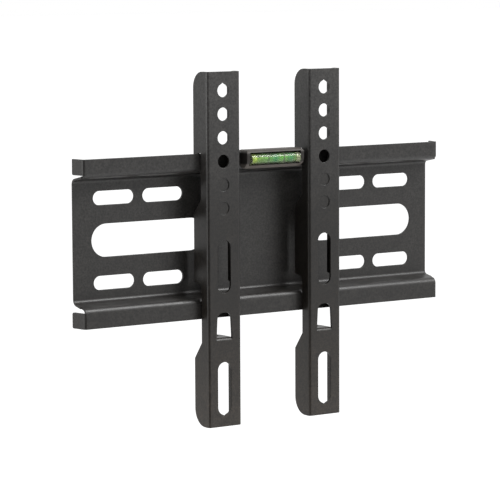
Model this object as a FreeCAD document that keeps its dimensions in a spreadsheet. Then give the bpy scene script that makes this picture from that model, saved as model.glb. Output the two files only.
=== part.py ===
import FreeCAD, Part
import math
import os
import re
import Sketcher

# Low-profile wall mount for a television, in millimetres.
# Origin: middle of the mount, on the wall. X runs along the rails, +Y points into the wall, Z is up.
# One folded sheet is screwed to the wall. Two channel arms hang on its upper rail and slide along it.
# A small bubble level is clipped over the middle of the upper rail.

SIZES = {
    # Folded wall plate
    "plate_width": 283.8,
    "plate_height": 109.2,       # from the free edge of one lip to the free edge of the other
    "panel_height": 79.0,        # between the corners where the panel meets its two shelves
    "panel_rise": 0.6,           # middle of the panel above the middle of the plate
    "sheet_thickness": 1.5,
    "rail_depth": 15.0,          # wall to the front of the lips
    "shelf_slope": 10.5,         # degrees that each shelf leans away from level
    "fold_radius": 2.6,          # inside radius of the four long folds
    # End tabs of the two lips
    "lip_end_margin": 1.9,       # end of the panel to where the flat part of a lip ends
    "fold_end_margin": 0.9,      # end of the panel to where the fold beside a lip ends
    "end_tab_height": 10.3,
    "upper_tab_length": 10.8,
    "lower_tab_length": 12.0,
    "end_tab_angle": 77.0,
    "end_tab_fold_radius": 0.5,
    "end_tab_corner": 1.2,
    "upper_relief_depth": 2.6,   # how far the cut behind each lip reaches towards the wall
    "lower_relief_depth": 5.7,
    # Wall screw slots and the two long openings of the panel
    "inner_slot_spacing": 148.8,
    "slot_gap": 6.2,             # between the ends of two slots in a row
    "slot_row_spacing": 55.2,
    "slot_length": 31.0,
    "slot_width": 9.2,
    "opening_gap": 84.4,         # between the two long openings
    "opening_length": 86.3,
    "opening_height": 21.7,
    # Arms
    "left_arm_place": -40.6,
    "right_arm_place": 40.05,
    "arm_width": 25.9,
    "arm_sheet": 1.5,
    "arm_fold_radius": 0.5,
    "arm_rise": 53.75,           # top of an arm above the upper lip
    "arm_drop": 71.8,            # bottom of an arm below the lower lip
    "neck_depth": 8.2,           # depth of a flange where it passes in front of the rails
    "left_flange_depth": 16.9,
    "right_flange_depth": 13.8,
    "rail_clearance": 0.4,
    "hook_gap": 3.5,
    "hook_clearance": 6.5,       # end of a hook above the top of the panel
    "hook_round": 1.4,
    "hook_slot_radius": 0.6,
    "upper_neck_reach": 15.3,    # neck below the corner of the upper shelf
    "upper_slant": 9.2,
    "shoulder_reach": 7.3,       # neck above the corner of the lower shelf
    "shoulder_slope": 12.0,
    "shoulder_radius": 3.4,
    "lower_neck_reach": 15.8,    # neck below the lower lip
    "lower_slant": 52.0,
    "left_top_radius": 10.7,
    "left_bottom_radius": 11.5,
    "right_top_radius": 7.5,
    "right_bottom_radius": 7.5,
    "small_radius": 1.5,
    # Holes for the screws of the television
    "hole_line": -0.4,           # line of the holes, to the right of the middle of an arm
    "tv_hole_from_top": 12.4,
    "tv_hole_pitch": 15.46,
    "tv_hole_diameter": 8.8,
    "tv_hole_count": 4,
    "blank_count": 2,            # blanks left in place below the open holes
    "blank_depth": 0.6,
    "upper_slot_from_top": 128.2,
    "lower_slot_from_bottom": 25.5,
    "tv_slot_length": 35.2,
    "tv_slot_width": 10.4,
    "notch_width": 3.6,
    "notch_depth": 0.9,
    # Locking tab, cut from the face and folded back
    "lock_fold_drop": 12.4,      # below the lower lip
    "lock_tab_height": 16.7,
    "lock_root_width": 12.4,
    "lock_tip_width": 10.4,
    "lock_tip_radius": 4.4,
    "lock_fold_radius": 1.0,
    "lock_hole_diameter": 5.0,
    # Bubble level
    "level_place": 0.7,          # middle of the level to the right of the middle of the mount
    "level_width": 45.4,
    "level_depth": 8.2,
    "level_above_lip": 1.3,
    "level_below_lip": 11.3,
    "level_back_wall": 0.5,
    "level_clip_thickness": 1.4,
    "level_clip_clearance": 7.5,  # end of the clip above the top of the panel
    "level_foot_depth": 3.4,
    "level_nose_drop": 8.7,      # top of the level to where its front starts to lean back
    "level_top_radius": 3.2,
    "level_nose_radius": 5.0,
    "level_foot_radius": 0.8,
    "level_end_radius": 2.5,
    "vial_drop": 4.9,            # axis of the vial below the top of the lip
    "vial_diameter": 8.0,
    "vial_length": 40.4,
    "vial_wall": 0.7,
    "vial_end_wall": 2.0,
    "vial_clearance": 0.1,
    "barrel_bulge": 0.2,         # the bore widens by this from its ends to its middle
    "channel_flare": 4.5,
    "plug_length": 3.0,
    "plug_clearance": 0.05,
    "bubble_length": 9.0,
    "bubble_width": 3.6,
    "bubble_height": 1.8,
}

SMALLEST_CUT = 0.001             # cubic millimetres
CLOSE = 0.01

doc = FreeCAD.newDocument("WallMount")
sheet = doc.addObject("Spreadsheet::Sheet", "Sizes")


# Sizes

def fill_sheet():
    """Write every size into its own named cell."""
    for row, (name, size) in enumerate(SIZES.items(), start=1):
        sheet.set(f"A{row}", name.replace("_", " "))
        sheet.set(f"B{row}", str(size))
        sheet.setAlias(f"B{row}", name)
    doc.recompute()


def bound(formula):
    """Point the size names in a formula at the cells of the sheet."""
    return re.sub(r"[a-z_]+", lambda word: f"Sizes.{word[0]}" if word[0] in SIZES else word[0], formula)


def value(formula):
    """Present value of a formula made of size names."""
    return float(sheet.evalExpression(bound(formula)))


# Places that several pieces share

LIP_END = "(plate_width / 2 - lip_end_margin)"
FOLD_END = "(plate_width / 2 - fold_end_margin)"
PANEL_TOP = "(panel_rise + panel_height / 2)"
UPPER_LIP = "plate_height / 2"
LOWER_LIP = "(-plate_height / 2)"
ARM_TOP = f"({UPPER_LIP} + arm_rise)"
ARM_BOTTOM = f"({LOWER_LIP} - arm_drop)"
NECK_BACK = "(-rail_depth - rail_clearance)"
ARM_FACE = f"({NECK_BACK} - neck_depth)"
CHANNEL_END = f"({ARM_FACE} + neck_depth / 2)"
LOCK_FOLD = f"({LOWER_LIP} - lock_fold_drop)"
LOCK_BEND = "(lock_fold_radius + arm_sheet)"
VIAL_UP = f"({UPPER_LIP} - vial_drop)"
VIAL_OUT = "(-rail_depth - level_back_wall - vial_clearance - vial_diameter / 2)"


# Sketch helpers

def new_body(name):
    body = doc.addObject("PartDesign::Body", name)
    body.Label = name
    return body


def new_sketch(body, name, plane, offset="0"):
    """Sketch on an origin plane of the body, moved along the plane's normal by a formula."""
    sketch = body.newObject("Sketcher::SketchObject", name)
    support = next(item for item in body.Origin.OriginFeatures if item.Role == plane)
    sketch.AttachmentSupport = (support, "")
    sketch.MapMode = "FlatFace"
    sketch.setExpression("AttachmentOffset.Base.z", bound(offset))
    return sketch


def hold(sketch, kind, geometry, size):
    """Add a dimension that follows a formula."""
    index = sketch.addConstraint(Sketcher.Constraint(kind, *geometry, value(size)))
    sketch.setExpression(f"Constraints[{index}]", bound(size))


def hold_point(sketch, point, end, across, up):
    hold(sketch, "DistanceX", (-1, 1, point, end), across)
    hold(sketch, "DistanceY", (-1, 1, point, end), up)


def join(sketch, kind, first, first_end, second, second_end):
    sketch.addConstraint(Sketcher.Constraint(kind, first, first_end, second, second_end))


def angle_of(vector):
    return math.atan2(vector.y, vector.x)


def arc_between(centre, radius, start, end):
    """Anticlockwise arc from one direction to another."""
    circle = Part.Circle(centre, FreeCAD.Vector(0, 0, 1), radius)
    first = angle_of(start - centre)
    last = angle_of(end - centre)
    if last <= first:
        last += 2 * math.pi
    return Part.ArcOfCircle(circle, first, last)


def corner_places(corners):
    """Corner points, their radii, and where the straight sides meet each rounded corner."""
    points = [FreeCAD.Vector(value(corner[0]), value(corner[1]), 0) for corner in corners]
    radii = [value(corner[2]) if len(corner) > 2 else 0.0 for corner in corners]
    touches = []
    for index, point in enumerate(points):
        back = (points[index - 1] - point).normalize()
        ahead = (points[(index + 1) % len(points)] - point).normalize()
        reach = radii[index] / math.tan(back.getAngle(ahead) / 2)
        touches.append((point + back * reach, point + ahead * reach))
    return points, radii, touches


def outline(sketch, corners):
    """Closed outline through corners, each (across, up) or (across, up, radius) as formulas."""
    points, radii, touches = corner_places(corners)
    count = len(corners)
    lines = []
    for index in range(count):
        start = touches[index][1]
        end = touches[(index + 1) % count][0]
        lines.append(sketch.addGeometry(Part.LineSegment(start, end)))
    for index, corner in enumerate(corners):
        before = lines[index - 1]
        after = lines[index]
        if len(corner) == 2:
            join(sketch, "Coincident", before, 2, after, 1)
            hold_point(sketch, after, 1, corner[0], corner[1])
            continue
        arrive, leave = touches[index]
        back = (arrive - points[index]).normalize()
        ahead = (leave - points[index]).normalize()
        turns_left = ahead.cross(back).z > 0
        half = back.getAngle(ahead) / 2
        centre = points[index] + (back + ahead).normalize() * (radii[index] / math.sin(half))
        if turns_left:
            arc = sketch.addGeometry(arc_between(centre, radii[index], arrive, leave))
            arc_in, arc_out = 1, 2
        else:
            arc = sketch.addGeometry(arc_between(centre, radii[index], leave, arrive))
            arc_in, arc_out = 2, 1
        join(sketch, "Tangent", before, 2, arc, arc_in)
        join(sketch, "Tangent", arc, arc_out, after, 1)
        hold(sketch, "Radius", (arc,), corner[2])
        corner_point = sketch.addGeometry(Part.Point(points[index]), True)
        hold_point(sketch, corner_point, 1, corner[0], corner[1])
        sketch.addConstraint(Sketcher.Constraint("PointOnObject", corner_point, 1, before))
        sketch.addConstraint(Sketcher.Constraint("PointOnObject", corner_point, 1, after))


def long_hole(sketch, across, up, length, width, upright=False):
    """Slot with full round ends."""
    middle = FreeCAD.Vector(value(across), value(up), 0)
    radius = value(width) / 2
    half = value(length) / 2 - radius
    along = FreeCAD.Vector(0, half, 0) if upright else FreeCAD.Vector(half, 0, 0)
    side = FreeCAD.Vector(radius, 0, 0) if upright else FreeCAD.Vector(0, -radius, 0)
    end_b = middle + along
    end_a = middle - along
    arc_b = sketch.addGeometry(arc_between(end_b, radius, end_b + side, end_b - side))
    arc_a = sketch.addGeometry(arc_between(end_a, radius, end_a - side, end_a + side))
    line_a = sketch.addGeometry(Part.LineSegment(end_a + side, end_b + side))
    line_b = sketch.addGeometry(Part.LineSegment(end_b - side, end_a - side))
    join(sketch, "Tangent", line_a, 2, arc_b, 1)
    join(sketch, "Tangent", arc_b, 2, line_b, 1)
    join(sketch, "Tangent", line_b, 2, arc_a, 1)
    join(sketch, "Tangent", arc_a, 2, line_a, 1)
    reach = f"({length} - {width}) / 2"
    hold(sketch, "Radius", (arc_b,), f"{width} / 2")
    if upright:
        hold_point(sketch, arc_b, 3, across, f"{up} + {reach}")
        hold_point(sketch, arc_a, 3, across, f"{up} - {reach}")
    else:
        hold_point(sketch, arc_b, 3, f"{across} + {reach}", up)
        hold_point(sketch, arc_a, 3, f"{across} - {reach}", up)


def round_hole(sketch, across, up, diameter):
    centre = FreeCAD.Vector(value(across), value(up), 0)
    circle = sketch.addGeometry(Part.Circle(centre, FreeCAD.Vector(0, 0, 1), value(diameter) / 2))
    hold_point(sketch, circle, 3, across, up)
    hold(sketch, "Radius", (circle,), f"{diameter} / 2")


# Feature helpers

def pad(body, sketch, name, length, centred=False):
    feature = body.newObject("PartDesign::Pad", name)
    feature.Profile = sketch
    feature.setExpression("Length", bound(length))
    feature.Midplane = centred
    doc.recompute()
    return feature


def must_cut(body, feature, before):
    """Stop when a cut took nothing away."""
    doc.recompute()
    if feature.Shape.Volume > before - SMALLEST_CUT:
        raise RuntimeError(f"{feature.Label} removes nothing from {body.Label}")
    return feature


def cut_through(body, sketch, name):
    """Cut a sketch right through the body, both ways from its plane."""
    before = body.Shape.Volume
    feature = body.newObject("PartDesign::Pocket", name)
    feature.Profile = sketch
    feature.Type = "ThroughAll"
    feature.Midplane = True
    return must_cut(body, feature, before)


def cut_deep(body, sketch, name, depth, reverse=False, centred=False):
    """Cut a sketch to a depth, against its normal, or along it when reversed."""
    before = body.Shape.Volume
    feature = body.newObject("PartDesign::Pocket", name)
    feature.Profile = sketch
    feature.setExpression("Length", bound(depth))
    feature.Reversed = reverse
    feature.Midplane = centred
    return must_cut(body, feature, before)


def edges_where(shape, test):
    """Names of the edges whose middle point passes a test."""
    names = []
    for index, edge in enumerate(shape.Edges, start=1):
        middle = edge.valueAt((edge.FirstParameter + edge.LastParameter) / 2)
        if test(edge, middle):
            names.append(f"Edge{index}")
    return names


def round_edges(body, base, names, name, radius):
    feature = body.newObject("PartDesign::Fillet", name)
    feature.Base = (base, names)
    feature.setExpression("Radius", bound(radius))
    doc.recompute()
    return feature


# Wall plate

def shelf_corner(depth):
    """Height, above the middle, of the shelf's front plane at a depth in front of the panel."""
    return f"(panel_height / 2 + ({depth} - sheet_thickness) * tan(shelf_slope))"


def half_fold(sign):
    """Corners of the folded section from a lip's free edge to the panel, front face first."""
    outer = "sheet_thickness * (1 - sin(shelf_slope)) / cos(shelf_slope)"
    lip_front = "-rail_depth"
    lip_back = "-rail_depth + sheet_thickness"
    fold_outside = "fold_radius + sheet_thickness"
    front = [
        (lip_front, f"{sign} * {UPPER_LIP}"),
        (lip_front, f"panel_rise + {sign} * {shelf_corner('rail_depth')}", fold_outside),
        ("-sheet_thickness", f"panel_rise + {sign} * panel_height / 2", "fold_radius"),
    ]
    wall_corner = f"({shelf_corner('0')} + {outer})"
    back = [
        (lip_back, f"{sign} * {UPPER_LIP}"),
        (lip_back, f"panel_rise + {sign} * ({shelf_corner('rail_depth')} + {outer})", "fold_radius"),
        ("0", f"panel_rise + {sign} * {wall_corner}", fold_outside),
    ]
    return front, back


def fold_section(body):
    """Hat section: panel on the wall, two shelves and two lips, one sheet thick all round."""
    sketch = new_sketch(body, "FoldSection", "YZ_Plane")
    upper_front, upper_back = half_fold("1")
    lower_front, lower_back = half_fold("-1")
    outline(sketch, upper_front + lower_front[::-1] + lower_back + upper_back[::-1])
    return pad(body, sketch, "FoldedSheet", "plate_width", centred=True)


def trim_lip_ends(body):
    """Cut the lips and their folds short of the panel, so that the end tabs can fold."""
    outer = "(plate_width / 2 + sheet_thickness)"
    edge = f"({UPPER_LIP} + sheet_thickness)"
    tab_edge = f"({UPPER_LIP} - end_tab_height)"
    for label, sign, relief in (("Upper", "1", "upper_relief_depth"), ("Lower", "-1", "lower_relief_depth")):
        for word, side in (("Right", "1"), ("Left", "-1")):
            sketch = new_sketch(body, f"{label}Relief{word}", "XZ_Plane", f"rail_depth - {relief}")
            outline(sketch, [
                (f"{side} * {LIP_END}", f"{sign} * {edge}"),
                (f"{side} * {outer}", f"{sign} * {edge}"),
                (f"{side} * {outer}", "0"),
                (f"{side} * {FOLD_END}", "0"),
                (f"{side} * {FOLD_END}", f"{sign} * {tab_edge}"),
                (f"{side} * {LIP_END}", f"{sign} * {tab_edge}"),
            ])
            cut_deep(body, sketch, sketch.Label + "Cut", f"{relief} + sheet_thickness", reverse=True)


def end_tab(body, label, side, low, length):
    """Strip folded back from the end of a lip."""
    sketch = new_sketch(body, label, "XY_Plane", low)
    turn = "end_tab_angle"
    outside = "(end_tab_fold_radius + sheet_thickness)"
    corner = f"({LIP_END} + {outside} * tan({turn} / 2))"
    step_in = f"sheet_thickness * tan({turn} / 2)"
    end_x = f"({corner} + {length} * cos({turn}))"
    end_y = f"(-rail_depth + {length} * sin({turn}))"
    outline(sketch, [
        (f"{side} * ({LIP_END} - sheet_thickness)", "-rail_depth"),
        (f"{side} * {corner}", "-rail_depth", outside),
        (f"{side} * {end_x}", end_y),
        (f"{side} * ({end_x} - sheet_thickness * sin({turn}))", f"{end_y} + sheet_thickness * cos({turn})"),
        (f"{side} * ({corner} - {step_in})", "-rail_depth + sheet_thickness", "end_tab_fold_radius"),
        (f"{side} * ({LIP_END} - sheet_thickness)", "-rail_depth + sheet_thickness"),
    ])
    return pad(body, sketch, label + "Strip", "end_tab_height")


def round_end_tabs(body, base):
    """Round the rear corners of the four end tabs."""
    rear = value("-rail_depth + upper_tab_length * sin(end_tab_angle) - sheet_thickness")
    thickness = value("sheet_thickness")
    inner_edge = value(f"{UPPER_LIP} - end_tab_height")
    lip_end = value(LIP_END)

    def is_corner(edge, middle):
        is_short = abs(edge.Length - thickness) < CLOSE
        is_rear = rear < middle.y < -thickness
        is_past_lip = abs(middle.x) > lip_end
        is_open = abs(middle.z - inner_edge) < CLOSE or middle.z < -inner_edge
        return is_short and is_rear and is_past_lip and is_open

    names = edges_where(base.Shape, is_corner)
    return round_edges(body, base, names, "TabCorners", "end_tab_corner")


def panel_holes(body):
    """Screw slots in two rows, with a long opening at each side of the middle."""
    sketch = new_sketch(body, "PanelHoles", "XZ_Plane")
    opening_place = "(opening_gap + opening_length) / 2"
    inner_place = "inner_slot_spacing / 2"
    outer_place = f"({inner_place} + slot_length + slot_gap)"
    for side in ("1", "-1"):
        long_hole(sketch, f"{side} * {opening_place}", "panel_rise", "opening_length", "opening_height")
        for row in ("1", "-1"):
            up = f"panel_rise + {row} * slot_row_spacing / 2"
            for place in (outer_place, inner_place):
                long_hole(sketch, f"{side} * {place}", up, "slot_length", "slot_width")
    return cut_through(body, sketch, "PanelOpenings")


def wall_plate():
    body = new_body("wall_plate")
    fold_section(body)
    trim_lip_ends(body)
    upper = f"{UPPER_LIP} - end_tab_height"
    for side, word in (("1", "Right"), ("-1", "Left")):
        end_tab(body, f"UpperTab{word}", side, upper, "upper_tab_length")
        last = end_tab(body, f"LowerTab{word}", side, LOWER_LIP, "lower_tab_length")
    round_end_tabs(body, last)
    panel_holes(body)
    return body


# Arms

def channel(body):
    """Face of the arm with its two long folds."""
    sketch = new_sketch(body, "ChannelSection", "XY_Plane", ARM_BOTTOM)
    half = "arm_width / 2"
    inside = "arm_fold_radius"
    outside = "(arm_fold_radius + arm_sheet)"
    outline(sketch, [
        (f"-{half}", ARM_FACE, outside),
        (half, ARM_FACE, outside),
        (half, CHANNEL_END),
        (f"{half} - arm_sheet", CHANNEL_END),
        (f"{half} - arm_sheet", f"{ARM_FACE} + arm_sheet", inside),
        (f"-{half} + arm_sheet", f"{ARM_FACE} + arm_sheet", inside),
        (f"-{half} + arm_sheet", CHANNEL_END),
        (f"-{half}", CHANNEL_END),
    ])
    return pad(body, sketch, "Channel", f"{ARM_TOP} - {ARM_BOTTOM}")


def flange_middle(back):
    """Corners of a flange's rear edge from the upper neck down to the lower end."""
    slant_top = "(panel_height / 2 - upper_neck_reach)"
    shoulder = "(-panel_height / 2 + shoulder_reach)"
    neck_end = f"({LOWER_LIP} - lower_neck_reach)"
    step = f"({back} - {NECK_BACK})"
    return [
        (NECK_BACK, slant_top, "small_radius"),
        (back, f"{slant_top} - {step} * upper_slant / (left_flange_depth - neck_depth)", "small_radius"),
        (back, f"{shoulder} + {step} * tan(shoulder_slope)", "small_radius / 2"),
        (NECK_BACK, shoulder, "shoulder_radius"),
        (NECK_BACK, neck_end, "small_radius"),
        (back, f"{neck_end} - {step} * tan(lower_slant)", "small_radius"),
    ]


def left_flange(body):
    """Deep flange with the hook that hangs behind the upper lip."""
    back = f"({ARM_FACE} + left_flange_depth)"
    slot_top = f"({UPPER_LIP} + rail_clearance)"
    hook_front = f"({NECK_BACK} + hook_gap)"
    hook_tip = f"({PANEL_TOP} + hook_clearance)"
    sketch = new_sketch(body, "LeftFlange", "YZ_Plane", "-arm_width / 2")
    corners = [
        (CHANNEL_END, ARM_TOP),
        (back, ARM_TOP, "left_top_radius"),
        (back, hook_tip, "hook_round"),
        (hook_front, hook_tip, "hook_round"),
        (hook_front, slot_top, "hook_slot_radius"),
        (NECK_BACK, slot_top, "hook_slot_radius"),
    ]
    corners += flange_middle(back)
    corners += [
        (back, ARM_BOTTOM, "left_bottom_radius"),
        (CHANNEL_END, ARM_BOTTOM),
    ]
    outline(sketch, corners)
    return pad(body, sketch, "LeftFlangeSheet", "arm_sheet")


def right_flange(body):
    """Shallower flange that ends above the lip and has no hook."""
    back = f"({ARM_FACE} + right_flange_depth)"
    slot_top = f"({UPPER_LIP} + rail_clearance)"
    sketch = new_sketch(body, "RightFlange", "YZ_Plane", "arm_width / 2 - arm_sheet")
    corners = [
        (CHANNEL_END, ARM_TOP),
        (back, ARM_TOP, "right_top_radius"),
        (back, slot_top, "small_radius"),
        (NECK_BACK, slot_top, "hook_slot_radius"),
    ]
    corners += flange_middle(back)
    corners += [
        (back, ARM_BOTTOM, "right_bottom_radius"),
        (CHANNEL_END, ARM_BOTTOM),
    ]
    outline(sketch, corners)
    return pad(body, sketch, "RightFlangeSheet", "arm_sheet")


def row_of_holes(body, feature, name, count):
    """Repeat a hole downwards at the pitch of the row."""
    pattern = body.newObject("PartDesign::LinearPattern", name)
    pattern.Originals = [feature]
    pattern.Direction = (feature.Profile[0], ["V_Axis"])
    pattern.Reversed = True
    pattern.setExpression("Length", bound(f"tv_hole_pitch * ({count} - 1)"))
    pattern.setExpression("Occurrences", bound(count))
    body.Tip = pattern
    doc.recompute()
    return pattern


def tv_holes(body):
    """Open holes, and below them round blanks that are pushed half out of the face."""
    first_up = f"{ARM_TOP} - tv_hole_from_top"
    sketch = new_sketch(body, "HoleSketch", "XZ_Plane")
    round_hole(sketch, "hole_line", first_up, "tv_hole_diameter")
    hole = cut_through(body, sketch, "Hole")
    row_of_holes(body, hole, "HoleRow", "tv_hole_count")

    blank_up = f"{first_up} - tv_hole_count * tv_hole_pitch"
    sketch = new_sketch(body, "BlankBackSketch", "XZ_Plane", f"-({ARM_FACE} + arm_sheet + blank_depth)")
    round_hole(sketch, "hole_line", blank_up, "tv_hole_diameter")
    boss = pad(body, sketch, "BlankBack", "blank_depth + arm_sheet / 2")
    row_of_holes(body, boss, "BlankBackRow", "blank_count")

    sketch = new_sketch(body, "BlankSketch", "XZ_Plane", f"-{ARM_FACE}")
    round_hole(sketch, "hole_line", blank_up, "tv_hole_diameter")
    dent = cut_deep(body, sketch, "Blank", "blank_depth")
    row_of_holes(body, dent, "BlankRow", "blank_count")


def tv_slots(body):
    """Two upright slots for the screws of the television."""
    sketch = new_sketch(body, "SlotSketch", "XZ_Plane")
    for up in (f"({ARM_TOP} - upper_slot_from_top)", f"({ARM_BOTTOM} + lower_slot_from_bottom)"):
        long_hole(sketch, "hole_line", up, "tv_slot_length", "tv_slot_width", upright=True)
    return cut_through(body, sketch, "Slots")


def index_notches(body):
    """Small vee notches at the first hole and at the end of the lower slot."""
    sketch = new_sketch(body, "NotchSketch", "XZ_Plane")
    hole_edge = f"({ARM_TOP} - tv_hole_from_top + tv_hole_diameter / 2)"
    slot_edge = f"({ARM_BOTTOM} + lower_slot_from_bottom - tv_slot_length / 2)"
    for edge, outward in ((hole_edge, "1"), (slot_edge, "-1")):
        root = f"{edge} - {outward} * notch_depth / 2"
        outline(sketch, [
            ("hole_line - notch_width / 2", root),
            ("hole_line + notch_width / 2", root),
            ("hole_line", f"{edge} + {outward} * notch_depth"),
        ])
    return cut_through(body, sketch, "Notches")


def lock_window(body):
    """Arched window in the face, which the locking tab was cut from."""
    sketch = new_sketch(body, "LockWindow", "XZ_Plane")
    top = f"({LOCK_FOLD} + lock_tab_height)"
    outline(sketch, [
        ("hole_line - lock_root_width / 2", f"{LOCK_FOLD} - {LOCK_BEND}"),
        ("hole_line + lock_root_width / 2", f"{LOCK_FOLD} - {LOCK_BEND}"),
        ("hole_line + lock_tip_width / 2", top, "lock_tip_radius"),
        ("hole_line - lock_tip_width / 2", top, "lock_tip_radius"),
    ])
    return cut_through(body, sketch, "LockWindowCut")


def lock_tab(body):
    """Locking tab, folded back level, with its threaded hole."""
    bend = new_sketch(body, "LockBend", "YZ_Plane", "hole_line")
    bend_foot = f"({LOCK_FOLD} - {LOCK_BEND} - lock_fold_radius)"
    bend_back = f"({ARM_FACE} + {LOCK_BEND} + lock_fold_radius)"
    outline(bend, [
        (ARM_FACE, bend_foot),
        (f"{ARM_FACE} + arm_sheet", bend_foot),
        (f"{ARM_FACE} + arm_sheet", f"{LOCK_FOLD} - arm_sheet", "lock_fold_radius"),
        (bend_back, f"{LOCK_FOLD} - arm_sheet"),
        (bend_back, LOCK_FOLD),
        (ARM_FACE, LOCK_FOLD, LOCK_BEND),
    ])
    pad(body, bend, "LockBendSheet", "lock_root_width", centred=True)

    plan = new_sketch(body, "LockPlan", "XY_Plane", f"{LOCK_FOLD} - arm_sheet")
    tip = f"({ARM_FACE} + lock_tab_height)"
    outline(plan, [
        ("hole_line - lock_root_width / 2", bend_back),
        ("hole_line + lock_root_width / 2", bend_back),
        ("hole_line + lock_tip_width / 2", tip, "lock_tip_radius"),
        ("hole_line - lock_tip_width / 2", tip, "lock_tip_radius"),
    ])
    pad(body, plan, "LockTongue", "arm_sheet")

    hole = new_sketch(body, "LockHole", "XY_Plane", LOCK_FOLD)
    round_hole(hole, "hole_line", f"{tip} - lock_tip_width / 2", "lock_hole_diameter")
    return cut_deep(body, hole, "LockHoleCut", "arm_sheet")


def arm(name, place):
    body = new_body(name)
    body.setExpression("Placement.Base.x", bound(place))
    channel(body)
    left_flange(body)
    right_flange(body)
    tv_holes(body)
    tv_slots(body)
    index_notches(body)
    lock_window(body)
    lock_tab(body)
    return body


# Bubble level

def level_holder():
    """Moulded holder that clips over the upper lip, with an open channel for the vial."""
    body = new_body("level_holder")
    body.setExpression("Placement.Base.x", bound("level_place"))
    top = f"({UPPER_LIP} + level_above_lip)"
    foot = f"({UPPER_LIP} - level_below_lip)"
    front = "(-rail_depth - level_depth)"
    clip_front = "-rail_depth + sheet_thickness"
    clip_back = "-rail_depth + sheet_thickness + level_clip_thickness"
    clip_tip = f"({PANEL_TOP} + level_clip_clearance)"
    sketch = new_sketch(body, "HolderSection", "YZ_Plane")
    outline(sketch, [
        (front, top, "level_top_radius"),
        (front, f"{top} - level_nose_drop", "level_nose_radius"),
        ("-rail_depth - level_foot_depth", foot, "level_foot_radius"),
        ("-rail_depth", foot),
        ("-rail_depth", UPPER_LIP),
        (clip_front, UPPER_LIP),
        (clip_front, clip_tip),
        (clip_back, clip_tip, "level_foot_radius"),
        (clip_back, top, "level_foot_radius"),
    ])
    pad(body, sketch, "HolderBlock", "level_width", centred=True)

    ends = new_sketch(body, "HolderEnds", "XZ_Plane")
    half = "level_width / 2"
    waste = "level_end_radius"
    outline(ends, [
        (f"-{half} - {waste}", f"{foot} - {waste}"),
        (f"{half} + {waste}", f"{foot} - {waste}"),
        (f"{half} + {waste}", f"{top} + {waste}"),
        (f"-{half} - {waste}", f"{top} + {waste}"),
    ])
    outline(ends, [
        (f"-{half}", foot, "level_end_radius"),
        (half, foot, "level_end_radius"),
        (half, top, "level_end_radius"),
        (f"-{half}", top, "level_end_radius"),
    ])
    cut_through(body, ends, "HolderEndCut")

    channel_sketch = new_sketch(body, "ChannelSection", "YZ_Plane")
    radius = "(vial_diameter / 2 + vial_clearance)"
    ahead = f"{front} - level_depth"
    outline(channel_sketch, [
        (ahead, f"{VIAL_UP} + channel_flare"),
        (front, f"{VIAL_UP} + channel_flare"),
        (VIAL_OUT, f"{VIAL_UP} + {radius}"),
        (f"{VIAL_OUT} + {radius}", f"{VIAL_UP} + {radius}", "vial_diameter / 2"),
        (f"{VIAL_OUT} + {radius}", f"{VIAL_UP} - {radius}", "vial_diameter / 2"),
        (VIAL_OUT, f"{VIAL_UP} - {radius}"),
        (front, f"{VIAL_UP} - channel_flare"),
        (ahead, f"{VIAL_UP} - channel_flare"),
    ])
    cut_deep(body, channel_sketch, "VialChannel", "vial_length + 2 * vial_clearance", centred=True)
    return body


def turned(body, sketch, name):
    """Turn a profile about the vial's axis."""
    feature = body.newObject("PartDesign::Revolution", name)
    feature.Profile = sketch
    feature.ReferenceAxis = (sketch, ["H_Axis"])
    feature.Angle = 360.0
    doc.recompute()
    return feature


def on_vial_axis(name):
    body = new_body(name)
    body.setExpression("Placement.Base.x", bound("level_place"))
    body.setExpression("Placement.Base.y", bound(VIAL_OUT))
    body.setExpression("Placement.Base.z", bound(VIAL_UP))
    return body


def level_vial():
    """Clear barrel, closed at the left and open at the right for its plug."""
    body = on_vial_axis("level_vial")
    bore = "(vial_diameter / 2 - vial_wall)"
    left = "(-vial_length / 2)"
    right = "vial_length / 2"
    sketch = new_sketch(body, "VialProfile", "XZ_Plane")
    outline(sketch, [
        (left, "0"),
        (f"{left} + vial_end_wall", "0"),
        (f"{left} + vial_end_wall", f"{bore} - barrel_bulge"),
        ("0", bore),
        (f"{right} - plug_length", f"{bore} - barrel_bulge"),
        (right, f"{bore} - barrel_bulge"),
        (right, "vial_diameter / 2"),
        (f"{left} + vial_wall", "vial_diameter / 2"),
        (left, "vial_diameter / 2 - vial_wall"),
    ])
    turned(body, sketch, "Barrel")
    return body


def level_plug():
    """End plug of the vial."""
    body = on_vial_axis("level_plug")
    radius = "(vial_diameter / 2 - vial_wall - barrel_bulge - plug_clearance)"
    sketch = new_sketch(body, "PlugProfile", "XZ_Plane")
    outline(sketch, [
        ("vial_length / 2 - plug_length + plug_clearance", "0"),
        ("vial_length / 2", "0"),
        ("vial_length / 2", radius),
        ("vial_length / 2 - plug_length + plug_clearance", radius),
    ])
    turned(body, sketch, "Plug")
    return body


def level_fluid():
    """Fluid that fills the barrel, with the flat-floored hollow of the bubble at the top of its middle."""
    body = on_vial_axis("level_fluid")
    gap = "plug_clearance"
    radius = f"(vial_diameter / 2 - vial_wall - {gap})"
    left = f"(-vial_length / 2 + vial_end_wall + {gap})"
    right = f"(vial_length / 2 - plug_length - {gap})"
    sketch = new_sketch(body, "FluidProfile", "XZ_Plane")
    outline(sketch, [
        (left, "0"),
        (right, "0"),
        (right, f"{radius} - barrel_bulge"),
        ("0", radius),
        (left, f"{radius} - barrel_bulge"),
    ])
    turned(body, sketch, "Filling")
    bubble = new_sketch(body, "BubblePlan", "XY_Plane", radius)
    long_hole(bubble, "0", "0", "bubble_length", "bubble_width")
    cut_deep(body, bubble, "Bubble", "bubble_height")
    return body


# Making and writing the pieces

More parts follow.
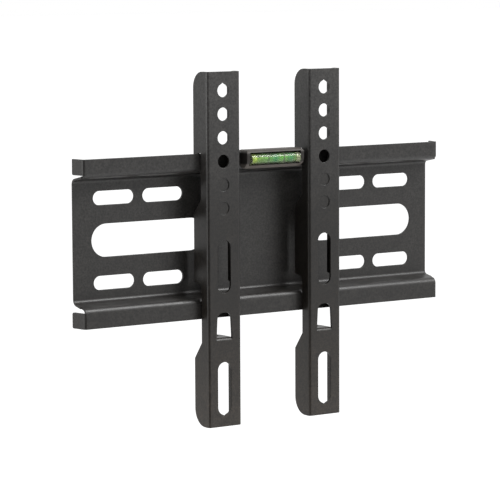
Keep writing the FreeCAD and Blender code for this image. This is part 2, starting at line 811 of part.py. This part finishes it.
def check(pieces):
    """Stop when any object has failed or any piece is not one valid solid."""
    doc.recompute()
    for item in doc.Objects:
        if "Invalid" in item.State or "Error" in item.State:
            raise RuntimeError(f"{item.Label} failed: {item.State}")
    for piece in pieces:
        if piece.Shape.isNull() or not piece.Shape.isValid() or len(piece.Shape.Solids) != 1:
            raise RuntimeError(f"{piece.Label} is not one valid solid")


def write(pieces):
    os.makedirs("parts", exist_ok=True)
    for piece in pieces:
        piece.Shape.exportStep(f"parts/{piece.Label}.step")
        box = piece.Shape.BoundBox
        print(f"{piece.Label}: {piece.Shape.Volume:.0f} mm3, {box}")


fill_sheet()
mount = [
    wall_plate(),
    arm("left_arm", "left_arm_place"),
    arm("right_arm", "right_arm_place"),
    level_holder(),
    level_vial(),
    level_plug(),
    level_fluid(),
]
check(mount)
write(mount)
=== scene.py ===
import math

import bpy
from mathutils import Matrix, Vector


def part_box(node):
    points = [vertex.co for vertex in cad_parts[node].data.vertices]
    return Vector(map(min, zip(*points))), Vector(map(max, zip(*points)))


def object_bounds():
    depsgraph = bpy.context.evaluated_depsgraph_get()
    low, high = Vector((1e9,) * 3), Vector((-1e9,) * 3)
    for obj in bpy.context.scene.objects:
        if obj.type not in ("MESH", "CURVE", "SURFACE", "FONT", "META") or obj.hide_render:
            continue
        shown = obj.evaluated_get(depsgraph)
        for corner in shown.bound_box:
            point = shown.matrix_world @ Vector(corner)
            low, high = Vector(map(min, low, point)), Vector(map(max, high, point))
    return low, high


# Looks of a low-profile wall mount for a television, in metres.
# The frame holds the folded wall plate, its two sliding arms and the bubble level.
# Their shapes stay as they are: this script gives them their materials, the light and the camera.

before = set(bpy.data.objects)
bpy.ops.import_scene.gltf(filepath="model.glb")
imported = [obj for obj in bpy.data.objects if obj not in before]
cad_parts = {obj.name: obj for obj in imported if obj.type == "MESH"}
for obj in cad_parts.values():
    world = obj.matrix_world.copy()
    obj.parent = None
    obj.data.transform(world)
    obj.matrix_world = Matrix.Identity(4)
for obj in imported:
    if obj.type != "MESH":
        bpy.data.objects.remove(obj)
cad_low, cad_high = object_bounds()

MM = 0.001

# Camera, as the photograph was taken
PHOTO_SIDE = 500.0                   # pixels
FOCAL_PIXELS = 2540.9
SENSOR_WIDTH = 36.0
CAMERA_AZIMUTH = math.radians(-33.489)
CAMERA_ELEVATION = math.radians(6.307)
CAMERA_ROLL = math.radians(-0.273)
CAMERA_PLACE = Vector((-0.94262, -1.41731, 0.17457))
NEAREST_SEEN = 0.1
FARTHEST_SEEN = 200.0

# Light
BACKGROUND = 1.0                     # what the camera sees behind the mount
WORLD_FILL = 0.7                     # even light on all matt surfaces
DARK_ROOM = (0.0, 30, 52)            # level, and degrees where it starts to rise and where it ends
DIM_BACK = (0.6, 25, 55)             # the same for the dimmer zone behind the mount
DIM_BACK_PLACE = (-0.2, 0.97, -0.1)  # direction of its middle
FLOOR_DROP = 0.35                    # floor below the lower end of the arms
FLOOR_SIDE = 60.0
FLOOR_COLOUR = 0.82
FLOOR_ROUGHNESS = 0.9
FLOOR_LIFT = 0.51                    # glow that brings the floor up to the white of the background
FLOOR_GLOSS_LIFT = 0.3               # the same, as the paint's gloss sees it
SOFTBOX_PLACE = (0.58, -0.72, 0.88)
SOFTBOX_SIDE = 0.6
SOFTBOX_POWER = 12.5
SIDE_LIGHT_PLACE = (-1.5, 0.1, 0.3)
SIDE_LIGHT_SIZE = (0.5, 0.6)
SIDE_LIGHT_POWER = 8.5


# Camera and stage

def towards_camera():
    """Direction from the mount to the camera."""
    return Vector((
        math.sin(CAMERA_AZIMUTH) * math.cos(CAMERA_ELEVATION),
        -math.cos(CAMERA_AZIMUTH) * math.cos(CAMERA_ELEVATION),
        math.sin(CAMERA_ELEVATION),
    ))


def make_camera():
    """Camera with the place, turn and focal length that were fitted to the photograph."""
    back = towards_camera()
    right = Vector((math.cos(CAMERA_AZIMUTH), math.sin(CAMERA_AZIMUTH), 0.0))
    up = back.cross(right)
    tilted_right = right * math.cos(CAMERA_ROLL) + up * math.sin(CAMERA_ROLL)
    tilted_up = up * math.cos(CAMERA_ROLL) - right * math.sin(CAMERA_ROLL)
    camera = bpy.data.objects.new("camera", bpy.data.cameras.new("camera"))
    camera.data.sensor_width = SENSOR_WIDTH
    camera.data.lens = FOCAL_PIXELS * SENSOR_WIDTH / PHOTO_SIDE
    camera.data.clip_start = NEAREST_SEEN
    camera.data.clip_end = FARTHEST_SEEN
    turn = Matrix((tilted_right, tilted_up, back)).transposed()
    camera.matrix_world = Matrix.Translation(CAMERA_PLACE) @ turn.to_4x4()
    bpy.context.scene.collection.objects.link(camera)
    bpy.context.scene.camera = camera


def larger(nodes, links, first, second):
    """The larger of two values."""
    both = nodes.new("ShaderNodeMath")
    both.operation = "MAXIMUM"
    links.new(first, both.inputs[0])
    links.new(second, both.inputs[1])
    return both.outputs[0]


def choose(nodes, links, switch, off, on):
    """One value or another by a switch, each a number or the output of a node."""
    pick = nodes.new("ShaderNodeMapRange")
    links.new(switch, pick.inputs["Value"])
    for value, socket in ((off, "To Min"), (on, "To Max")):
        if isinstance(value, float):
            pick.inputs[socket].default_value = value
        else:
            links.new(value, pick.inputs[socket])
    return pick.outputs["Result"]


def darker_zone(nodes, links, place, direction, zone):
    """Full light all round, with a soft darker zone in one direction from the mount."""
    level, inner, outer = zone
    facing = nodes.new("ShaderNodeVectorMath")
    facing.operation = "DOT_PRODUCT"
    facing.inputs[1].default_value = direction
    links.new(place, facing.inputs[0])
    tone = nodes.new("ShaderNodeMapRange")
    tone.interpolation_type = "SMOOTHSTEP"
    tone.inputs["From Min"].default_value = math.cos(math.radians(outer))
    tone.inputs["From Max"].default_value = math.cos(math.radians(inner))
    tone.inputs["To Min"].default_value = BACKGROUND
    tone.inputs["To Max"].default_value = level
    links.new(facing.outputs["Value"], tone.inputs["Value"])
    return tone.outputs["Result"]


def studio_tone(nodes, links, coordinates):
    """The studio as gloss sees it: dark around the camera and dimmer behind the mount."""
    place = nodes.new("ShaderNodeTexCoord")
    away = nodes.new("ShaderNodeVectorMath")
    away.operation = "NORMALIZE"
    links.new(place.outputs[coordinates], away.inputs[0])
    studio = nodes.new("ShaderNodeMath")
    studio.operation = "MULTIPLY"
    zones = ((towards_camera(), DARK_ROOM), (Vector(DIM_BACK_PLACE).normalized(), DIM_BACK))
    for index, (direction, zone) in enumerate(zones):
        tone = darker_zone(nodes, links, away.outputs["Vector"], direction, zone)
        links.new(tone, studio.inputs[index])
    return studio.outputs[0]


def make_world():
    """White behind the mount, a studio with darker zones in its gloss, and an even fill on it."""
    world = bpy.data.worlds.new("studio")
    world.use_nodes = True
    nodes, links = world.node_tree.nodes, world.node_tree.links
    path = nodes.new("ShaderNodeLightPath")
    studio = studio_tone(nodes, links, "Generated")
    seen = larger(nodes, links, path.outputs["Is Camera Ray"], path.outputs["Is Transmission Ray"])
    strength = choose(nodes, links, seen, WORLD_FILL, BACKGROUND)
    strength = choose(nodes, links, path.outputs["Is Glossy Ray"], strength, studio)
    links.new(strength, nodes["Background"].inputs["Strength"])
    nodes["Background"].inputs["Color"].default_value = (1.0, 1.0, 1.0, 1.0)
    bpy.context.scene.world = world


def make_floor():
    """Pale floor well below the mount, which hangs free as in the photograph."""
    height = cad_low.z - FLOOR_DROP
    half = FLOOR_SIDE / 2
    mesh = bpy.data.meshes.new("floor")
    corners = [(x * half, y * half, height) for x, y in ((-1, -1), (1, -1), (1, 1), (-1, 1))]
    mesh.from_pydata(corners, [], [(0, 1, 2, 3)])
    floor = bpy.data.objects.new("floor", mesh)
    bpy.context.scene.collection.objects.link(floor)
    material = bpy.data.materials.new("pale_floor")
    material.use_nodes = True
    nodes, links = material.node_tree.nodes, material.node_tree.links
    shader = nodes["Principled BSDF"]
    shader.inputs["Roughness"].default_value = FLOOR_ROUGHNESS
    shader.inputs["Emission Color"].default_value = (1.0, 1.0, 1.0, 1.0)
    path = nodes.new("ShaderNodeLightPath")
    glossy = path.outputs["Is Glossy Ray"]
    studio = studio_tone(nodes, links, "Object")
    colour = nodes.new("ShaderNodeCombineColor")
    for channel in ("Red", "Green", "Blue"):
        share = nodes.new("ShaderNodeMath")
        share.operation = "MULTIPLY"
        share.inputs[1].default_value = FLOOR_COLOUR
        links.new(choose(nodes, links, glossy, 1.0, studio), share.inputs[0])
        links.new(share.outputs[0], colour.inputs[channel])
    links.new(colour.outputs["Color"], shader.inputs["Base Color"])
    seen = larger(nodes, links, path.outputs["Is Camera Ray"], path.outputs["Is Transmission Ray"])
    lift = choose(nodes, links, seen, 0.0, FLOOR_LIFT)
    gloss_lift = choose(nodes, links, studio, 0.0, FLOOR_GLOSS_LIFT)
    lift = choose(nodes, links, glossy, lift, gloss_lift)
    links.new(lift, shader.inputs["Emission Strength"])
    floor.data.materials.append(material)


def softbox(name, place, aim, width, height, power):
    """Rectangular lamp that faces a point."""
    data = bpy.data.lights.new(name, "AREA")
    data.shape = "RECTANGLE"
    data.size = width
    data.size_y = height
    data.energy = power
    lamp = bpy.data.objects.new(name, data)
    lamp.location = place
    lamp.rotation_euler = (Vector(aim) - Vector(place)).to_track_quat("-Z", "Y").to_euler()
    bpy.context.scene.collection.objects.link(lamp)


def make_lights():
    """A softbox at the front right, which draws bright lines on the folds, and one at the left."""
    middle = (0.0, 0.0, 0.0)
    softbox("key", SOFTBOX_PLACE, middle, SOFTBOX_SIDE, SOFTBOX_SIDE, SOFTBOX_POWER)
    softbox("side", SIDE_LIGHT_PLACE, middle, *SIDE_LIGHT_SIZE, SIDE_LIGHT_POWER)


# Materials

NOISE_LOW = 0.3                      # most of a noise texture lies between these two values
NOISE_HIGH = 0.7

PLATE_TONE = 0.0172
ARM_TONE = 0.02
PAINT_DARK = (0.78, 0.75, 0.72)      # the two colours of the coat, as shares of its tone
PAINT_LIGHT = (1.1, 1.05, 1.0)
PAINT_ROUGHNESS = (0.35, 0.43)
EDGE_ROUNDING = 0.45 * MM            # cut edges of the sheets under their paint
EDGE_SAMPLES = 6

HOLDER_DARK = (0.034, 0.030, 0.027)
HOLDER_LIGHT = (0.048, 0.043, 0.039)
HOLDER_ROUGHNESS = (0.42, 0.56)
HOLDER_SPECULAR = 0.25

VIAL_DARK = (0.78, 0.88, 0.62)
VIAL_LIGHT = (0.90, 0.97, 0.76)
VIAL_ROUGHNESS = (0.1, 0.2)
VIAL_CLEARNESS = 0.97
VIAL_IOR = 1.3                       # low, which keeps the lamp's streak on the vial soft
RING_SPACING = 12.4 * MM             # the two rings of the vial
RING_WIDTH = 0.5 * MM
RING_SHIFT = 0.8 * MM
RING_TONE = 0.25                     # share of the vial's colour that is left in a ring
RING_CLEARNESS = 0.5

LIQUID_ROUGHNESS = 0.1
# strength of the liquid's painted glow
LIQUID_PAINTED_GLOW = 0.45
LIQUID_IOR = 1.36
LIQUID_SPECULAR = 0.15

PLUG_DARK = (0.35, 0.32, 0.30)
PLUG_LIGHT = (0.50, 0.46, 0.43)
PLUG_ROUGHNESS = (0.4, 0.52)
PLUG_SCATTER = 0.3


def new_material(name):
    material = bpy.data.materials.new(name)
    material.use_nodes = True
    nodes, links = material.node_tree.nodes, material.node_tree.links
    return material, nodes, links, nodes["Principled BSDF"]


def noise(nodes, links, size, detail=2.0):
    """Noise with patches of about one size, fixed to the piece."""
    place = nodes.new("ShaderNodeTexCoord")
    texture = nodes.new("ShaderNodeTexNoise")
    texture.inputs["Scale"].default_value = 1.0 / size
    texture.inputs["Detail"].default_value = detail
    links.new(place.outputs["Object"], texture.inputs["Vector"])
    return texture.outputs["Fac"]


def spread(nodes, links, source, low, high):
    """Turn a noise into a value between two ends."""
    ramp = nodes.new("ShaderNodeMapRange")
    ramp.inputs["From Min"].default_value = NOISE_LOW
    ramp.inputs["From Max"].default_value = NOISE_HIGH
    ramp.inputs["To Min"].default_value = low
    ramp.inputs["To Max"].default_value = high
    links.new(source, ramp.inputs["Value"])
    return ramp.outputs["Result"]


def times(nodes, links, colour, factor):
    """Colour made lighter or darker by a factor."""
    scale = nodes.new("ShaderNodeVectorMath")
    scale.operation = "SCALE"
    links.new(colour, scale.inputs[0])
    links.new(factor, scale.inputs["Scale"])
    return scale.outputs["Vector"]


def tinted(nodes, links, colour, tint):
    """Colour multiplied by another, channel by channel."""
    both = nodes.new("ShaderNodeVectorMath")
    both.operation = "MULTIPLY"
    links.new(colour, both.inputs[0])
    links.new(tint, both.inputs[1])
    return both.outputs["Vector"]


def profile(nodes, links, axis, low, high, stops):
    """Ramp along one axis of the piece, with (share of the way, colour) stops."""
    place = nodes.new("ShaderNodeTexCoord")
    split = nodes.new("ShaderNodeSeparateXYZ")
    links.new(place.outputs["Object"], split.inputs["Vector"])
    way = nodes.new("ShaderNodeMapRange")
    way.inputs["From Min"].default_value = low
    way.inputs["From Max"].default_value = high
    links.new(split.outputs[axis], way.inputs["Value"])
    ramp = nodes.new("ShaderNodeValToRGB")
    elements = ramp.color_ramp.elements
    while len(elements) < len(stops):
        elements.new(1.0)
    for element, (share, colour) in zip(elements, stops):
        element.position = share
        element.color = (*colour, 1.0)
    links.new(way.outputs["Result"], ramp.inputs["Fac"])
    return ramp.outputs["Color"]


def grey_stops(*pairs):
    """Stops of a ramp from (share of the way, tone) pairs."""
    return [(share, (tone, tone, tone)) for share, tone in pairs]


def warm_stops(*rows):
    """Stops from (share of the way, tone, warmth), where warmth lifts the red and lowers the blue."""
    return [
        (share, (tone * (1.0 + warmth), tone, tone * (1.0 - warmth)))
        for share, tone, warmth in rows
    ]


def mottled(nodes, links, source, dark, light):
    """Colour that drifts between two tones with a noise."""
    ramp = nodes.new("ShaderNodeValToRGB")
    stops = ((NOISE_LOW, dark), (NOISE_HIGH, light))
    for element, (position, colour) in zip(ramp.color_ramp.elements, stops):
        element.position = position
        element.color = (*colour, 1.0)
    links.new(source, ramp.inputs["Fac"])
    return ramp.outputs["Color"]


def bumps(nodes, links, source, height):
    """Small unevenness of the surface that follows a noise."""
    bump = nodes.new("ShaderNodeBump")
    bump.inputs["Distance"].default_value = height
    links.new(source, bump.inputs["Height"])
    return bump


def black_paint(name, tone, painted_light_stops):
    """Smooth black powder coat with a faint orange peel, rounded over the cut edges.

    Its tone drifts from the bottom of the mount to its top, as painted light and shade for how the
    lamps fall on it, and its warmth drifts with it.
    """
    material, nodes, links, shader = new_material(name)
    dark = tuple(share * tone for share in PAINT_DARK)
    light = tuple(share * tone for share in PAINT_LIGHT)
    cloud = noise(nodes, links, size=9 * MM, detail=6.0)
    coat = mottled(nodes, links, cloud, dark, light)
    grain = spread(nodes, links, noise(nodes, links, size=1.2 * MM), low=0.45, high=1.55)
    # painted light and shade: the tone follows the height of the mount
    painted_light_drift = profile(nodes, links, "Z", cad_low.z, cad_high.z, painted_light_stops)
    grained = times(nodes, links, coat, grain)
    links.new(tinted(nodes, links, grained, painted_light_drift), shader.inputs["Base Color"])
    patches = noise(nodes, links, size=5 * MM, detail=3.0)
    links.new(spread(nodes, links, patches, *PAINT_ROUGHNESS), shader.inputs["Roughness"])
    peel = bumps(nodes, links, noise(nodes, links, size=1.2 * MM), height=0.0015 * MM)
    edges = nodes.new("ShaderNodeBevel")
    edges.samples = EDGE_SAMPLES
    edges.inputs["Radius"].default_value = EDGE_ROUNDING
    links.new(edges.outputs["Normal"], peel.inputs["Normal"])
    links.new(peel.outputs["Normal"], shader.inputs["Normal"])
    return material


def holder_plastic():
    """Warm grey moulded plastic with a fine matt grain, with painted highlights that make its lower
    and upper rims paler.
    """
    material, nodes, links, shader = new_material("holder_plastic")
    shader.inputs["Specular IOR Level"].default_value = HOLDER_SPECULAR
    cloud = noise(nodes, links, size=4 * MM, detail=3.0)
    low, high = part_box("level_holder")
    # painted highlights: the lower and upper rims are paler than the middle
    painted_rim_highlights = profile(nodes, links, "Z", low[2], high[2], grey_stops(
        (0.0, 3.4),
        (0.2, 3.4),
        (0.3, 0.6),
        (0.8, 0.6),
        (0.9, 1.8),
        (1.0, 1.8),
    ))
    plastic = mottled(nodes, links, cloud, HOLDER_DARK, HOLDER_LIGHT)
    links.new(times(nodes, links, plastic, painted_rim_highlights), shader.inputs["Base Color"])
    patches = noise(nodes, links, size=1.5 * MM)
    links.new(spread(nodes, links, patches, *HOLDER_ROUGHNESS), shader.inputs["Roughness"])
    grain = bumps(nodes, links, noise(nodes, links, size=0.25 * MM), height=0.006 * MM)
    links.new(grain.outputs["Normal"], shader.inputs["Normal"])
    return material


def ring_marks(nodes, links):
    """1 on the two rings that are drawn round the vial, 0 beside them."""
    low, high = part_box("level_vial")
    place = nodes.new("ShaderNodeTexCoord")
    split = nodes.new("ShaderNodeSeparateXYZ")
    links.new(place.outputs["Object"], split.inputs["Vector"])
    steps = (
        ("SUBTRACT", (low[0] + high[0]) / 2 + RING_SHIFT),
        ("ABSOLUTE", None),
        ("SUBTRACT", RING_SPACING / 2),
        ("ABSOLUTE", None),
        ("LESS_THAN", RING_WIDTH / 2),
    )
    value = split.outputs["X"]
    for operation, number in steps:
        step = nodes.new("ShaderNodeMath")
        step.operation = operation
        links.new(value, step.inputs[0])
        if number is not None:
            step.inputs[1].default_value = number
        value = step.outputs[0]
    return value


def vial_clear():
    """Clear acrylic with two rings drawn round it."""
    material, nodes, links, shader = new_material("vial_clear")
    shader.inputs["IOR"].default_value = VIAL_IOR
    cloud = noise(nodes, links, size=3 * MM, detail=3.0)
    clear = mottled(nodes, links, cloud, VIAL_DARK, VIAL_LIGHT)
    rings = ring_marks(nodes, links)
    ring_tone = choose(nodes, links, rings, 1.0, RING_TONE)
    links.new(times(nodes, links, clear, ring_tone), shader.inputs["Base Color"])
    clearness = choose(nodes, links, rings, VIAL_CLEARNESS, RING_CLEARNESS)
    links.new(clearness, shader.inputs["Transmission Weight"])
    patches = noise(nodes, links, size=3 * MM)
    links.new(spread(nodes, links, patches, *VIAL_ROUGHNESS), shader.inputs["Roughness"])
    waves = bumps(nodes, links, noise(nodes, links, size=1.5 * MM), height=0.003 * MM)
    links.new(waves.outputs["Normal"], shader.inputs["Normal"])
    return material


def level_liquid():
    """Liquid with a painted glow, yellow at its left end and bluer in two places, with painted shade
    that dims it above and below.
    """
    material, nodes, links, shader = new_material("level_liquid")
    low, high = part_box("level_fluid")
    tones = profile(nodes, links, "X", low[0], high[0], (
        (0.0, (0.42, 0.50, 0.05)),
        (0.09, (0.34, 0.46, 0.05)),
        (0.13, (0.17, 0.31, 0.06)),
        (0.42, (0.10, 0.31, 0.09)),
        (0.53, (0.03, 0.28, 0.13)),
        (0.62, (0.12, 0.36, 0.08)),
        (0.76, (0.11, 0.34, 0.08)),
        (0.88, (0.03, 0.27, 0.13)),
        (1.0, (0.15, 0.25, 0.06)),
    ))
    # painted shade: the liquid dims towards its top and its bottom
    painted_shade_above_below = profile(nodes, links, "Z", low[2], high[2], grey_stops(
        (0.0, 0.1),
        (0.12, 0.25),
        (0.28, 0.6),
        (0.45, 0.85),
        (0.64, 0.85),
        (0.76, 0.35),
        (1.0, 0.3),
    ))
    cloud = spread(nodes, links, noise(nodes, links, size=1.6 * MM, detail=4.0), low=0.7, high=1.25)
    colour = times(nodes, links, times(nodes, links, tones, cloud), painted_shade_above_below)
    links.new(colour, shader.inputs["Base Color"])
    # painted light: the liquid glows though it is no lamp
    links.new(colour, shader.inputs["Emission Color"])
    shader.inputs["Emission Strength"].default_value = LIQUID_PAINTED_GLOW
    shader.inputs["Roughness"].default_value = LIQUID_ROUGHNESS
    shader.inputs["IOR"].default_value = LIQUID_IOR
    shader.inputs["Specular IOR Level"].default_value = LIQUID_SPECULAR
    return material


def plug_white():
    """Milky plug that closes the vial."""
    material, nodes, links, shader = new_material("plug_white")
    shader.inputs["Subsurface Weight"].default_value = PLUG_SCATTER
    shader.inputs["Subsurface Radius"].default_value = (MM, MM, MM)
    cloud = noise(nodes, links, size=1.5 * MM)
    links.new(mottled(nodes, links, cloud, PLUG_DARK, PLUG_LIGHT), shader.inputs["Base Color"])
    patches = noise(nodes, links, size=0.8 * MM)
    links.new(spread(nodes, links, patches, *PLUG_ROUGHNESS), shader.inputs["Roughness"])
    return material


def dress(material, *names):
    """Give one material to the pieces with these names."""
    for name in names:
        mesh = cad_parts[name].data
        mesh.materials.clear()
        mesh.materials.append(material)


make_camera()
make_world()
make_floor()
make_lights()

# Painted light and shade along the height of the mount, from its bottom to its top: the tone stands
# in for how the lamps light the plate and arms (lighter towards the top, the arms darker along the
# middle of their height), and the warmth tints the coat
plate_painted_light = warm_stops((0.0, 0.7, 0.1), (1.0, 1.4, 0.0))
arm_painted_light = warm_stops(
    (0.0, 1.1, 0.2),
    (0.35, 0.38, 0.2),
    (0.6, 0.48, 0.1),
    (0.9, 1.45, 0.0),
    (1.0, 1.6, 0.0),
)

dress(black_paint("plate_paint", PLATE_TONE, plate_painted_light), "wall_plate")
dress(black_paint("arm_paint", ARM_TONE, arm_painted_light), "left_arm", "right_arm")
dress(holder_plastic(), "level_holder")
dress(vial_clear(), "level_vial")
dress(level_liquid(), "level_fluid")
dress(plug_white(), "level_plug")

bpy.context.scene.view_settings.view_transform = "Standard"
